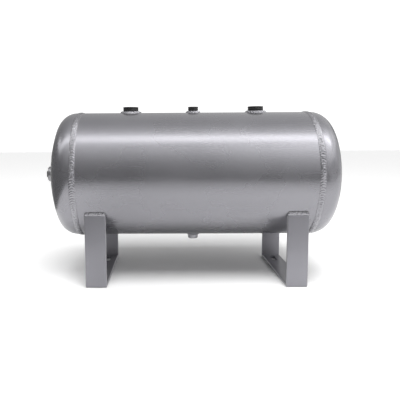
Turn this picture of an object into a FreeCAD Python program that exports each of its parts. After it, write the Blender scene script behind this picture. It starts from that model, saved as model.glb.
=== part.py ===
import FreeCAD, Part
import math
import os
import Sketcher

# Horizontal pressure tank on two strap legs.
# +Z is up and Z = 0 is the floor under the feet. +X runs along the tank to its plain head,
# the end port is at -X, and the front faces -Y. The origin lies on the floor under the
# middle of the overall length, from the end plug to the tip of the plain head.

DIMENSIONS = [
    # alias, value, what it is (mm, degrees)
    ("tank_diameter", 219.1, "outside diameter of the shell and heads"),
    ("shell_wall", 3.0, "wall of the shell and heads"),
    ("shell_length", 398.0, "cylindrical shell between its two girth joints"),
    ("axis_height", 182.4, "tank axis above the floor"),
    ("root_gap", 2.0, "gap between shell and head, filled by the girth weld"),
    ("flange_length", 6.0, "straight flange of a head"),
    ("crown_radius", 243.0, "outside radius of a head's crown"),
    ("knuckle_radius", 31.0, "outside radius of a head's knuckle"),
    ("girth_weld_width", 10.0, "width of a girth bead on the surface"),
    ("girth_weld_height", 2.2, "height of a girth bead above the surface"),
    ("port_spacing", 112.0, "middle top port to each outer top port"),
    ("large_bung_diameter", 27.4, "outside of the large bungs"),
    ("large_bore", 18.6, "bore of the large bungs"),
    ("small_bung_diameter", 18.2, "outside of the small bungs"),
    ("small_bore", 11.2, "bore of the small bungs"),
    ("top_bung_rise", 4.0, "top bungs above the crown of the shell"),
    ("top_bung_length", 18.0, "length of the top bungs"),
    ("drain_bung_rise", 10.0, "drain bung below the shell"),
    ("drain_bung_length", 14.0, "length of the drain bung"),
    ("end_bung_rise", 10.5, "end bung past the head"),
    ("end_bung_length", 20.0, "length of the end bung"),
    ("bung_chamfer", 1.2, "chamfer on a bung's outer rim"),
    ("bung_clearance", 0.25, "radial gap between a bung and its hole"),
    ("large_weld_leg", 6.0, "toe of a large port weld, outward from the bung"),
    ("small_weld_leg", 4.4, "toe of a small port weld, outward from the bung"),
    ("port_weld_height", 3.4, "height of a port weld up the bung"),
    ("port_weld_lip", 0.8, "width left at the top of a port weld"),
    ("plug_flange_height", 6.2, "flange of a top plug above its bung"),
    ("plug_groove_width", 0.9, "groove round a top plug's flange"),
    ("plug_groove_depth", 0.6, "depth of that groove"),
    ("plug_reach", 11.0, "plug thread inside its bung"),
    ("plug_clearance", 0.15, "radial gap between a plug and its bore"),
    ("plug_socket_depth", 4.5, "hexagon socket in a top plug"),
    ("large_socket", 12.0, "across the corners of a large plug's socket"),
    ("small_socket", 8.0, "across the corners of the small plug's socket"),
    ("end_head_width", 10.6, "square head of the end plug, across its flats"),
    ("end_head_height", 3.0, "square head of the end plug past the bung"),
    ("leg_inset", 32.7, "middle of a leg in from the end of the shell"),
    ("strap_width", 35.4, "width of the leg strap along the tank"),
    ("strap_thickness", 5.0, "thickness of the leg strap"),
    ("seat_angle", 55.5, "from straight down to where a strap meets the shell"),
    ("inner_bend_radius", 1.0, "inside radius of a strap bend"),
    ("outer_bend_radius", 3.0, "outside radius of a strap bend, which is folded sharp"),
    ("leg_weld_rise", 9.0, "height of a leg weld above the strap's cut end"),
    ("foot_slot_width", 10.0, "width of a bolt slot in a foot"),
    ("foot_slot_length", 32.0, "length of a bolt slot, across the tank"),
    ("foot_slot_inset", 29.3, "middle of a bolt slot in from the strap's outer face"),
]

# Sizes that follow from the sheet, as expressions that the objects are bound to.
OUTER_RADIUS = "dims.tank_diameter / 2"
INNER_RADIUS = "(dims.tank_diameter / 2 - dims.shell_wall)"
SHELL_HALF = "dims.shell_length / 2"
HEAD_START = "(dims.shell_length / 2 + dims.root_gap)"
TANGENT_LINE = "(dims.shell_length / 2 + dims.root_gap + dims.flange_length)"
KNUCKLE_OFFSET = "(dims.tank_diameter / 2 - dims.knuckle_radius)"
CROWN_SPAN = "(dims.crown_radius - dims.knuckle_radius)"
CROWN_DROP = f"sqrt({CROWN_SPAN}^2 - {KNUCKLE_OFFSET}^2)"
CROWN_CENTRE = f"({TANGENT_LINE} - {CROWN_DROP})"
HEAD_TIP = f"({CROWN_CENTRE} + dims.crown_radius)"
SEAT_HALF = "(dims.tank_diameter / 2 * sin(dims.seat_angle * 1 deg))"
STRAP_TOP = "(dims.axis_height - dims.tank_diameter / 2 * cos(dims.seat_angle * 1 deg))"
STRAP_OUT = f"({SEAT_HALF} + dims.strap_thickness)"
FOOT_SLOT_Y = f"({STRAP_OUT} - dims.foot_slot_inset)"
SLOT_HALF = "dims.foot_slot_width / 2"
SLOT_RUN = "(dims.foot_slot_length - dims.foot_slot_width) / 2"
TOE_HEIGHT = f"({STRAP_TOP} + dims.leg_weld_rise)"
LEG_X = "(dims.shell_length / 2 - dims.leg_inset)"
SHELL_MIDDLE = "(dims.end_bung_rise + dims.end_head_height) / 2"
BEAD_CHORD = "dims.girth_weld_width^2 / 4 + dims.girth_weld_height^2"
BEAD_RADIUS = f"({BEAD_CHORD}) / (2 * dims.girth_weld_height)"
PORT_HOLE = {
    "large": "dims.large_bung_diameter + 2 * dims.bung_clearance",
    "small": "dims.small_bung_diameter + 2 * dims.bung_clearance",
}

SAME_PLACE = 0.01  # mm, how near an edge's ends lie to where it is looked for

doc = FreeCAD.newDocument("pressure_tank")
dims = doc.addObject("Spreadsheet::Sheet", "dims")
subparts = []


def fill_sheet():
    for row, (alias, value, meaning) in enumerate(DIMENSIONS, start=1):
        dims.set(f"A{row}", alias)
        dims.set(f"B{row}", str(value))
        dims.set(f"C{row}", meaning)
        dims.setAlias(f"B{row}", alias)
    doc.recompute()


def size(expression):
    """Present value of an expression, as a plain number."""
    result = dims.evalExpression(expression.replace("dims.", ""))
    return float(getattr(result, "Value", result))


# ---------------------------------------------------------------- sketching helpers

def new_body(label):
    body = doc.addObject("PartDesign::Body", label)
    body.Label = label
    subparts.append(body)
    return body


def new_sketch(body, role, name):
    plane = [f for f in body.Origin.OriginFeatures if f.Role == role][0]
    sketch = body.newObject("Sketcher::SketchObject", f"{body.Name}_{name}")
    sketch.AttachmentSupport = [(plane, "")]
    sketch.MapMode = "FlatFace"
    return sketch


def bind(sketch, constraint, expression):
    index = sketch.addConstraint(constraint)
    sketch.setExpression(f"Constraints[{index}]", expression)


def pin_point(sketch, edge, end, across, up):
    """Hold one end of an edge at a place given by two expressions."""
    if across == "0":
        sketch.addConstraint(Sketcher.Constraint("PointOnObject", edge, end, -2))
    else:
        bind(sketch, Sketcher.Constraint("DistanceX", -1, 1, edge, end, size(across)), across)
    if up == "0":
        sketch.addConstraint(Sketcher.Constraint("PointOnObject", edge, end, -1))
    else:
        bind(sketch, Sketcher.Constraint("DistanceY", -1, 1, edge, end, size(up)), up)


def point(corner):
    return FreeCAD.Vector(size(corner[0]), size(corner[1]), 0)


def draw_outline(sketch, corners):
    """Closed outline with straight sides through corners given as pairs of expressions."""
    points = [point(corner) for corner in corners]
    count = len(points)
    for i in range(count):
        sketch.addGeometry(Part.LineSegment(points[i], points[(i + 1) % count]), False)
    for i in range(count):
        sketch.addConstraint(Sketcher.Constraint("Coincident", i, 2, (i + 1) % count, 1))
    for i, (across, up) in enumerate(corners):
        pin_point(sketch, i, 1, across, up)


def draw_circle(sketch, across, up, diameter):
    centre = FreeCAD.Vector(size(across), size(up), 0)
    circle = Part.Circle(centre, FreeCAD.Vector(0, 0, 1), size(diameter) / 2)
    index = sketch.addGeometry(circle, False)
    bind(sketch, Sketcher.Constraint("Diameter", index, size(diameter)), diameter)
    pin_point(sketch, index, 3, across, up)


def revolve(body, sketch, axis):
    turned = body.newObject("PartDesign::Revolution", f"{body.Name}_revolve")
    turned.Profile = sketch
    turned.ReferenceAxis = (sketch, [axis])
    turned.Angle = 360
    return turned


def pad(body, sketch, length):
    """Pad by the same amount to both sides of the sketch."""
    block = body.newObject("PartDesign::Pad", f"{body.Name}_pad")
    block.Profile = sketch
    block.SideType = "Symmetric"
    block.setExpression("Length", length)
    return block


def pad_up(body, sketch, name, length):
    block = body.newObject("PartDesign::Pad", f"{body.Name}_{name}")
    block.Profile = sketch
    block.setExpression("Length", length)
    return block


def lift(sketch, height):
    """Raise a sketch above its plane."""
    offset = FreeCAD.Vector(0, 0, size(height))
    sketch.AttachmentOffset = FreeCAD.Placement(offset, FreeCAD.Rotation())
    sketch.setExpression("AttachmentOffset.Base.z", height)


def pocket(body, sketch, name, depth=None, reverse=False):
    cut = body.newObject("PartDesign::Pocket", f"{body.Name}_{name}")
    cut.Profile = sketch
    cut.Reversed = reverse
    if depth is None:
        cut.Type = "ThroughAll"
    else:
        cut.setExpression("Length", depth)
    before = cut.BaseFeature.Shape.Volume
    doc.recompute()
    if cut.Shape.Volume >= before:
        raise RuntimeError(f"{cut.Name} removed nothing")
    return cut


def place(item, x="0", z="0", axis=(0, 0, 1), angle=0):
    turn = FreeCAD.Rotation(FreeCAD.Vector(*axis), angle)
    item.Placement = FreeCAD.Placement(FreeCAD.Vector(), turn)
    item.setExpression("Placement.Base.x", x)
    item.setExpression("Placement.Base.z", z)


def seat_piece(item, x="0", **rest):
    """Place a finished piece in the tank, with x counted from the middle of the shell."""
    place(item, x=f"{x} + {SHELL_MIDDLE}", **rest)


# ---------------------------------------------------------------- pressure vessel

def make_shell():
    body = new_body("shell")
    ring = new_sketch(body, "YZ_Plane", "ring")
    draw_circle(ring, "0", "0", "dims.tank_diameter")
    draw_circle(ring, "0", "0", "dims.tank_diameter - 2 * dims.shell_wall")
    pad(body, ring, "dims.shell_length")
    doc.recompute()

    top = new_sketch(body, "XY_Plane", "top_holes")
    draw_circle(top, "-dims.port_spacing", "0", PORT_HOLE["large"])
    draw_circle(top, "0", "0", PORT_HOLE["small"])
    draw_circle(top, "dims.port_spacing", "0", PORT_HOLE["large"])
    pocket(body, top, "top_cut", reverse=True)

    bottom = new_sketch(body, "XY_Plane", "drain_hole")
    draw_circle(bottom, "0", "0", PORT_HOLE["small"])
    pocket(body, bottom, "drain_cut")
    seat_piece(body, z="dims.axis_height")


def arc(sketch, across, up, radius, start, end):
    centre = FreeCAD.Vector(across, up, 0)
    circle = Part.Circle(centre, FreeCAD.Vector(0, 0, 1), radius)
    return sketch.addGeometry(Part.ArcOfCircle(circle, start, end), False)


def line(sketch, start, end):
    first = FreeCAD.Vector(start[0], start[1], 0)
    last = FreeCAD.Vector(end[0], end[1], 0)
    return sketch.addGeometry(Part.LineSegment(first, last), False)


def join(sketch, kind, pairs):
    for first, first_end, second, second_end in pairs:
        sketch.addConstraint(Sketcher.Constraint(kind, first, first_end, second, second_end))


def draw_head(sketch):
    """Half section of a dished head of one wall: straight flange, knuckle and crown."""
    wall = size("dims.shell_wall")
    outer = size(OUTER_RADIUS)
    start = size(HEAD_START)
    tangent = size(TANGENT_LINE)
    middle = size(CROWN_CENTRE)
    offset = size(KNUCKLE_OFFSET)
    knuckle = size("dims.knuckle_radius")
    crown = size("dims.crown_radius")
    tip = size(HEAD_TIP)
    turn = math.atan2(offset, tangent - middle)

    flange_out = line(sketch, (start, outer), (tangent, outer))
    knuckle_out = arc(sketch, tangent, offset, knuckle, turn, math.pi / 2)
    crown_out = arc(sketch, middle, 0, crown, 0, turn)
    nose = line(sketch, (tip, 0), (tip - wall, 0))
    crown_in = arc(sketch, middle, 0, crown - wall, 0, turn)
    knuckle_in = arc(sketch, tangent, offset, knuckle - wall, turn, math.pi / 2)
    flange_in = line(sketch, (tangent, outer - wall), (start, outer - wall))
    rim = line(sketch, (start, outer - wall), (start, outer))

    join(sketch, "Coincident", [
        (flange_out, 2, knuckle_out, 2),
        (crown_out, 1, nose, 1),
        (nose, 2, crown_in, 1),
        (knuckle_in, 2, flange_in, 1),
        (flange_in, 2, rim, 1),
        (rim, 2, flange_out, 1),
        (knuckle_in, 3, knuckle_out, 3),
        (crown_in, 3, crown_out, 3),
    ])
    join(sketch, "Tangent", [(knuckle_out, 1, crown_out, 2), (knuckle_in, 1, crown_in, 2)])
    pin_point(sketch, flange_out, 1, HEAD_START, OUTER_RADIUS)
    pin_point(sketch, flange_out, 2, TANGENT_LINE, OUTER_RADIUS)
    pin_point(sketch, flange_in, 1, TANGENT_LINE, INNER_RADIUS)
    pin_point(sketch, flange_in, 2, HEAD_START, INNER_RADIUS)
    pin_point(sketch, knuckle_out, 3, TANGENT_LINE, KNUCKLE_OFFSET)
    sketch.addConstraint(Sketcher.Constraint("PointOnObject", crown_out, 3, -1))
    sketch.addConstraint(Sketcher.Constraint("PointOnObject", nose, 1, -1))
    sketch.addConstraint(Sketcher.Constraint("PointOnObject", nose, 2, -1))
    bind(sketch, Sketcher.Constraint("Radius", crown_out, crown), "dims.crown_radius")


def make_head(label, angle):
    """The section is turned about the tank axis. The left head is the same part turned round."""
    body = new_body(label)
    section = new_sketch(body, "XZ_Plane", "section")
    draw_head(section)
    revolve(body, section, "H_Axis")
    doc.recompute()
    seat_piece(body, z="dims.axis_height", angle=angle)
    return body


def bore_end_port(body):
    hole = new_sketch(body, "YZ_Plane", "port_hole")
    draw_circle(hole, "0", "0", PORT_HOLE["large"])
    pocket(body, hole, "port_cut", reverse=True)


def make_girth_weld(label, angle):
    """Bead that fills the root gap and crowns over it."""
    body = new_body(label)
    section = new_sketch(body, "XZ_Plane", "section")
    left_toe = f"({SHELL_HALF} + dims.root_gap / 2 - dims.girth_weld_width / 2)"
    right_toe = f"({SHELL_HALF} + dims.root_gap / 2 + dims.girth_weld_width / 2)"
    half = size("dims.girth_weld_width") / 2
    rise = size("dims.girth_weld_height")
    bulge = (half ** 2 + rise ** 2) / (2 * rise)
    middle = size(SHELL_HALF) + size("dims.root_gap") / 2
    outer = size(OUTER_RADIUS)
    inner = size(INNER_RADIUS)
    spread = math.asin(half / bulge)

    root_left = line(section, (size(SHELL_HALF), outer), (size(SHELL_HALF), inner))
    root = line(section, (size(SHELL_HALF), inner), (size(HEAD_START), inner))
    root_right = line(section, (size(HEAD_START), inner), (size(HEAD_START), outer))
    right = line(section, (size(HEAD_START), outer), (middle + half, outer))
    cap = arc(section, middle, outer + rise - bulge, bulge, math.pi / 2 - spread, math.pi / 2 + spread)
    left = line(section, (middle - half, outer), (size(SHELL_HALF), outer))
    join(section, "Coincident", [
        (root_left, 2, root, 1),
        (root, 2, root_right, 1),
        (root_right, 2, right, 1),
        (right, 2, cap, 1),
        (cap, 2, left, 1),
        (left, 2, root_left, 1),
    ])
    pin_point(section, root_left, 1, SHELL_HALF, OUTER_RADIUS)
    pin_point(section, root_left, 2, SHELL_HALF, INNER_RADIUS)
    pin_point(section, root_right, 1, HEAD_START, INNER_RADIUS)
    pin_point(section, root_right, 2, HEAD_START, OUTER_RADIUS)
    pin_point(section, right, 2, right_toe, OUTER_RADIUS)
    pin_point(section, left, 1, left_toe, OUTER_RADIUS)
    bind(section, Sketcher.Constraint("Radius", cap, bulge), BEAD_RADIUS)
    revolve(body, section, "H_Axis")
    doc.recompute()
    seat_piece(body, z="dims.axis_height", angle=angle)


# ---------------------------------------------------------------- ports
# Bungs, port welds and plugs are made standing on their own axis: Z = 0 is the surface that
# they are welded to, and +Z is outward.

class Port:
    """Where a port stands, how it is turned about Y and how large it is."""

    def __init__(self, name, kind, rise, length, x, z, angle=0):
        self.name = name
        self.diameter = f"dims.{kind}_bung_diameter"
        self.bore = f"dims.{kind}_bore"
        self.weld_leg = f"dims.{kind}_weld_leg"
        self.socket = f"dims.{kind}_socket"
        self.rise = f"dims.{rise}"
        self.length = f"dims.{length}"
        self.seat = {"x": x, "z": z, "axis": (0, 1, 0), "angle": angle}


SHELL_TOP = f"dims.axis_height + {OUTER_RADIUS}"
SHELL_BOTTOM = f"dims.axis_height - {OUTER_RADIUS}"
TOP_PORTS = [
    Port("left_port", "large", "top_bung_rise", "top_bung_length", "-dims.port_spacing", SHELL_TOP),
    Port("middle_port", "small", "top_bung_rise", "top_bung_length", "0", SHELL_TOP),
    Port("right_port", "large", "top_bung_rise", "top_bung_length", "dims.port_spacing", SHELL_TOP),
]
DRAIN = Port("drain", "small", "drain_bung_rise", "drain_bung_length", "0", SHELL_BOTTOM, 180)
END_PORT = Port("end_port", "large", "end_bung_rise", "end_bung_length", f"-{HEAD_TIP}",
                "dims.axis_height", -90)


def make_bung(port):
    body = new_body(f"{port.name}_bung")
    section = new_sketch(body, "XZ_Plane", "section")
    radius = f"{port.diameter} / 2"
    hole = f"{port.bore} / 2"
    draw_outline(section, [
        (hole, f"{port.rise} - {port.length}"),
        (radius, f"{port.rise} - {port.length}"),
        (radius, f"{port.rise} - dims.bung_chamfer"),
        (f"{radius} - dims.bung_chamfer", port.rise),
        (hole, port.rise),
    ])
    revolve(body, section, "V_Axis")
    seat_piece(body, **port.seat)


def make_top_plug(port):
    """Threaded stub in the bore under a grooved flange, with a hexagon socket."""
    body = new_body(f"{port.name}_plug")
    section = new_sketch(body, "XZ_Plane", "section")
    radius = f"{port.diameter} / 2"
    stub = f"({port.bore} / 2 - dims.plug_clearance)"
    top = f"({port.rise} + dims.plug_flange_height)"
    groove = f"({port.rise} + dims.plug_flange_height / 2)"
    draw_outline(section, [
        ("0", f"{port.rise} - dims.plug_reach"),
        (stub, f"{port.rise} - dims.plug_reach"),
        (stub, port.rise),
        (radius, port.rise),
        (radius, f"{groove} - dims.plug_groove_width / 2"),
        (f"{radius} - dims.plug_groove_depth", f"{groove} - dims.plug_groove_width / 2"),
        (f"{radius} - dims.plug_groove_depth", f"{groove} + dims.plug_groove_width / 2"),
        (radius, f"{groove} + dims.plug_groove_width / 2"),
        (radius, top),
        ("0", top),
    ])
    revolve(body, section, "V_Axis")
    doc.recompute()

    socket = new_sketch(body, "XY_Plane", "socket")
    lift(socket, top)
    corner_radius = f"{port.socket} / 2"
    draw_outline(socket, [
        (f"{corner_radius} * cos({angle} deg)", f"{corner_radius} * sin({angle} deg)")
        for angle in range(0, 360, 60)
    ])
    pocket(body, socket, "socket_cut", depth="dims.plug_socket_depth")
    seat_piece(body, **port.seat)


def make_end_plug(port):
    """Flush plug with a small square head."""
    body = new_body(f"{port.name}_plug")
    stub = new_sketch(body, "XY_Plane", "stub")
    draw_circle(stub, "0", "0", f"{port.bore} - 2 * dims.plug_clearance")
    lift(stub, f"{port.rise} - dims.plug_reach")
    pad_up(body, stub, "stub_pad", "dims.plug_reach")
    doc.recompute()

    head = new_sketch(body, "XY_Plane", "head")
    half = "dims.end_head_width / 2"
    draw_outline(head, [
        (f"-{half}", f"-{half}"),
        (half, f"-{half}"),
        (half, half),
        (f"-{half}", half),
    ])
    lift(head, port.rise)
    pad_up(body, head, "head_pad", "dims.end_head_height")
    seat_piece(body, **port.seat)


def primitive(kind, name, **sizes):
    item = doc.addObject(kind, name)
    for key, expression in sizes.items():
        item.setExpression(key, expression)
    return item


def subtract(name, base, tool):
    cut = doc.addObject("Part::Cut", name)
    cut.Base = base
    cut.Tool = tool
    return cut


def make_port_weld(port, surface):
    """Tapered ring round a bung, with a straight skirt down to the surface that it lies on."""
    name = f"{port.name}_weld"
    toe = f"{port.diameter} / 2 + {port.weld_leg}"
    cone = primitive("Part::Cone", f"{name}_cone", Radius1=toe, Height="dims.port_weld_height",
                     Radius2=f"{port.diameter} / 2 + dims.port_weld_lip")
    skirt = primitive("Part::Cylinder", f"{name}_skirt", Radius=toe, Height=port.weld_leg)
    skirt.setExpression("Placement.Base.z", f"-{port.weld_leg}")
    ring = doc.addObject("Part::Fuse", f"{name}_ring")
    ring.Base = cone
    ring.Tool = skirt
    core = primitive("Part::Cylinder", f"{name}_core", Radius=f"{port.diameter} / 2",
                     Height=f"dims.port_weld_height + {port.weld_leg}")
    core.setExpression("Placement.Base.z", f"-{port.weld_leg}")
    weld = subtract(name, subtract(f"{name}_hollow", ring, core), surface(f"{name}_surface"))
    weld.Label = name
    subparts.append(weld)
    seat_piece(weld, **port.seat)


def shell_surface(name):
    """The shell's outside, as a port on the shell sees it."""
    barrel = primitive("Part::Cylinder", name, Radius=OUTER_RADIUS, Height="dims.shell_length")
    place(barrel, x=f"-{SHELL_HALF}", z=f"-{OUTER_RADIUS}", axis=(0, 1, 0), angle=90)
    return barrel


def crown_surface(name):
    """The head's crown, as the end port sees it."""
    ball = primitive("Part::Sphere", name, Radius="dims.crown_radius")
    place(ball, z="-dims.crown_radius")
    return ball


# ---------------------------------------------------------------- legs

def edge_at(shape, y, z):
    """Name of the edge along X that passes through the given Y and Z."""
    for i, edge in enumerate(shape.Edges, start=1):
        ends = [vertex.Point for vertex in edge.Vertexes]
        if all(abs(end.y - y) < SAME_PLACE and abs(end.z - z) < SAME_PLACE for end in ends):
            return f"Edge{i}"
    raise RuntimeError(f"no edge at {y}, {z}")


def round_bend(body, name, y, z, radius):
    base = body.Tip
    bend = body.newObject("PartDesign::Fillet", f"{body.Name}_{name}")
    bend.Base = (base, [edge_at(base.Shape, -y, z), edge_at(base.Shape, y, z)])
    bend.setExpression("Radius", radius)
    doc.recompute()


def draw_foot_slot(sketch, middle):
    """Slot along Y with round ends, at a middle given as an expression."""
    half = size(SLOT_HALF)
    low = f"({middle}) - {SLOT_RUN}"
    high = f"({middle}) + {SLOT_RUN}"
    right = line(sketch, (half, size(low)), (half, size(high)))
    far = arc(sketch, 0, size(high), half, 0, math.pi)
    left = line(sketch, (-half, size(high)), (-half, size(low)))
    near = arc(sketch, 0, size(low), half, math.pi, 2 * math.pi)
    join(sketch, "Coincident", [
        (right, 2, far, 1),
        (far, 2, left, 1),
        (left, 2, near, 1),
        (near, 2, right, 1),
    ])
    pin_point(sketch, right, 1, SLOT_HALF, low)
    pin_point(sketch, right, 2, SLOT_HALF, high)
    pin_point(sketch, left, 1, f"-{SLOT_HALF}", high)
    pin_point(sketch, left, 2, f"-{SLOT_HALF}", low)
    bind(sketch, Sketcher.Constraint("DistanceY", -1, 1, far, 3, size(high)), high)
    bind(sketch, Sketcher.Constraint("DistanceY", -1, 1, near, 3, size(low)), low)


def make_leg(label, x):
    """Flat bar bent into a U: a foot with two bolt slots and two uprights cut square."""
    body = new_body(label)
    outline = new_sketch(body, "YZ_Plane", "outline")
    draw_outline(outline, [
        (f"-{STRAP_OUT}", "0"),
        (STRAP_OUT, "0"),
        (STRAP_OUT, STRAP_TOP),
        (SEAT_HALF, STRAP_TOP),
        (SEAT_HALF, "dims.strap_thickness"),
        (f"-{SEAT_HALF}", "dims.strap_thickness"),
        (f"-{SEAT_HALF}", STRAP_TOP),
        (f"-{STRAP_OUT}", STRAP_TOP),
    ])
    pad(body, outline, "dims.strap_width")
    doc.recompute()
    round_bend(body, "outer_bends", size(STRAP_OUT), 0, "dims.outer_bend_radius")
    round_bend(body, "inner_bends", size(SEAT_HALF), size("dims.strap_thickness"), "dims.inner_bend_radius")

    slots = new_sketch(body, "XY_Plane", "foot_slots")
    draw_foot_slot(slots, FOOT_SLOT_Y)
    draw_foot_slot(slots, f"-{FOOT_SLOT_Y}")
    pocket(body, slots, "foot_slot_cut", reverse=True)
    seat_piece(body, x=x)


def make_leg_weld(label, x, angle):
    """Bead that fills the wedge between an upright's cut end and the round of the shell."""
    body = new_body(label)
    section = new_sketch(body, "YZ_Plane", "section")
    radius = size(OUTER_RADIUS)
    centre = size("dims.axis_height")
    seat = (size(SEAT_HALF), size(STRAP_TOP))
    heel = (size(STRAP_OUT), size(STRAP_TOP))
    low = -math.acos(size(SEAT_HALF) / radius)
    high = math.asin((size(TOE_HEIGHT) - centre) / radius)
    toe = (radius * math.cos(high), size(TOE_HEIGHT))

    base = line(section, seat, heel)
    face = line(section, heel, toe)
    back = arc(section, 0, centre, radius, low, high)
    join(section, "Coincident", [(base, 2, face, 1), (face, 2, back, 2), (back, 1, base, 1)])
    pin_point(section, base, 1, SEAT_HALF, STRAP_TOP)
    pin_point(section, base, 2, STRAP_OUT, STRAP_TOP)
    pin_point(section, back, 3, "0", "dims.axis_height")
    bind(section, Sketcher.Constraint("DistanceY", -1, 1, face, 2, size(TOE_HEIGHT)), TOE_HEIGHT)
    pad(body, section, "dims.strap_width")
    doc.recompute()
    seat_piece(body, x=x, angle=angle)


# ---------------------------------------------------------------- assembly

def make_vessel():
    make_shell()
    make_head("right_head", 0)
    bore_end_port(make_head("left_head", 180))
    make_girth_weld("right_girth_weld", 0)
    make_girth_weld("left_girth_weld", 180)


def make_ports():
    for port in TOP_PORTS:
        make_bung(port)
        make_port_weld(port, shell_surface)
        make_top_plug(port)
    make_bung(DRAIN)
    make_port_weld(DRAIN, shell_surface)
    make_bung(END_PORT)
    make_port_weld(END_PORT, crown_surface)
    make_end_plug(END_PORT)


def make_legs():
    for side, x in (("left", f"-{LEG_X}"), ("right", LEG_X)):
        make_leg(f"{side}_leg", x)
        make_leg_weld(f"{side}_leg_rear_weld", x, 0)
        make_leg_weld(f"{side}_leg_front_weld", x, 180)


def check_document():
    doc.recompute()
    for item in doc.Objects:
        if "Invalid" in item.State or "Error" in item.State:
            raise RuntimeError(f"{item.Name} failed: {item.State}")
    for part in subparts:
        if part.Shape.isNull() or not part.Shape.isValid() or len(part.Shape.Solids) != 1:
            raise RuntimeError(f"{part.Label} is not one valid solid")


def write_parts():
    os.makedirs("parts", exist_ok=True)
    for part in subparts:
        part.Shape.exportStep(f"parts/{part.Label}.step")
        print(f"{part.Label:24s} {part.Shape.Volume:12.1f} mm3")


fill_sheet()
make_vessel()
make_ports()
make_legs()
check_document()
write_parts()
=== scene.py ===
import math
import bmesh
import bpy
from mathutils import Matrix, Vector, noise


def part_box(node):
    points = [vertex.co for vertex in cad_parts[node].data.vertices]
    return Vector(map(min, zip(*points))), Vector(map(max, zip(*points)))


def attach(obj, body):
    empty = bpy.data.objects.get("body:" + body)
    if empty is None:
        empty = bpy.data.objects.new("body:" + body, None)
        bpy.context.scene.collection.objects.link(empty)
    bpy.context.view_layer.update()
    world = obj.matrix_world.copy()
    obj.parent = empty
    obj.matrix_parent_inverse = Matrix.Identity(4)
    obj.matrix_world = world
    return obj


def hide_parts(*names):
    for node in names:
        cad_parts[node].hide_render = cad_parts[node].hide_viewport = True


# Horizontal pressure tank in silver-grey paint on two strap legs, with three top ports,
# a drain and an end port. Everything is in metres. The tank lies along X, its front faces -Y.

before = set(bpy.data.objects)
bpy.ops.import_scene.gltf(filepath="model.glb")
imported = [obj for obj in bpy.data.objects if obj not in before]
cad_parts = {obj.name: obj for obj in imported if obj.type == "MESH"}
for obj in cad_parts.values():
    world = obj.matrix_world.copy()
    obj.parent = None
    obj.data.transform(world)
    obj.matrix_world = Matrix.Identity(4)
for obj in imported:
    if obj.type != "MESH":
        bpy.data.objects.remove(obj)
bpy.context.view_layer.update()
print("frame loaded:", len(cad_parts), "parts")

mm = 0.001
scene = bpy.context.scene
shellLow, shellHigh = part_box("shell")
tankRadius = (shellHigh.z - shellLow.z) / 2
axisHeight = (shellHigh.z + shellLow.z) / 2
tankMiddle = (shellHigh.x + shellLow.x) / 2
crownRadius = 243 * mm


def addNode(tree, kind, inputs=None, **settings):
    node = tree.nodes.new(kind)
    for key, value in settings.items():
        setattr(node, key, value)
    for key, value in (inputs or {}).items():
        if isinstance(value, bpy.types.NodeSocket):
            tree.links.new(value, node.inputs[key])
        else:
            node.inputs[key].default_value = value
    return node


def newMaterial(name):
    material = bpy.data.materials.new(name)
    material.use_nodes = True
    tree = material.node_tree
    place = addNode(tree, "ShaderNodeTexCoord").outputs["Object"]
    return material, tree, tree.nodes["Principled BSDF"], place


def stretched(tree, place, scale):
    return addNode(tree, "ShaderNodeMapping", {"Vector": place, "Scale": scale}).outputs[0]


def grain(tree, place, scale, detail=2.0, roughness=0.5):
    inputs = {"Vector": place, "Scale": scale, "Detail": detail, "Roughness": roughness}
    return addNode(tree, "ShaderNodeTexNoise", inputs).outputs[0]


def remap(tree, value, fromLow, fromHigh, toLow, toHigh):
    inputs = {"Value": value, "From Min": fromLow, "From Max": fromHigh, "To Min": toLow, "To Max": toHigh}
    return addNode(tree, "ShaderNodeMapRange", inputs).outputs[0]


def math2(tree, operation, first, second):
    return addNode(tree, "ShaderNodeMath", {0: first, 1: second}, operation=operation).outputs[0]


def mixColour(tree, amount, first, second, blend="MIX"):
    inputs = {0: amount, 6: first, 7: second}
    return addNode(tree, "ShaderNodeMix", inputs, data_type="RGBA", blend_type=blend).outputs[2]


def stackBumps(tree, layers, normal=None):
    # layers of (height, strength, depth in metres), the coarsest first
    for height, strength, depth in layers:
        inputs = {"Height": height, "Strength": strength, "Distance": depth}
        if normal is not None:
            inputs["Normal"] = normal
        normal = addNode(tree, "ShaderNodeBump", inputs).outputs[0]
    return normal


def colour(grey, blue=0.0):
    return (grey * (1 - blue * 0.3), grey * (1 - blue * 0.5), grey * (1 + blue), 1.0)


tankFinish = {
    "lightGrey": colour(0.288, 0.05),
    "darkGrey": colour(0.262, 0.05),
    "metallic": 0.85,
    "roughness": 0.27,
    "cloudScale": 11.0,
    "peelScale": 420.0,
    "nibScale": 150.0,
    "flakeScale": 1900.0,
    "orangePeel": 0.03,
    "coat": 0.22,
    "coatRoughness": 0.16,
}
legFinish = dict(tankFinish, lightGrey=colour(0.275, 0.06), darkGrey=colour(0.25, 0.06), metallic=0.65,
                 roughness=0.38, orangePeel=0.02)
beadFinish = dict(tankFinish, lightGrey=colour(0.35, 0.04), darkGrey=colour(0.27, 0.05), roughness=0.22)
bungFinish = dict(tankFinish, lightGrey=colour(0.31, 0.03), darkGrey=colour(0.25, 0.04), roughness=0.28)


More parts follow.
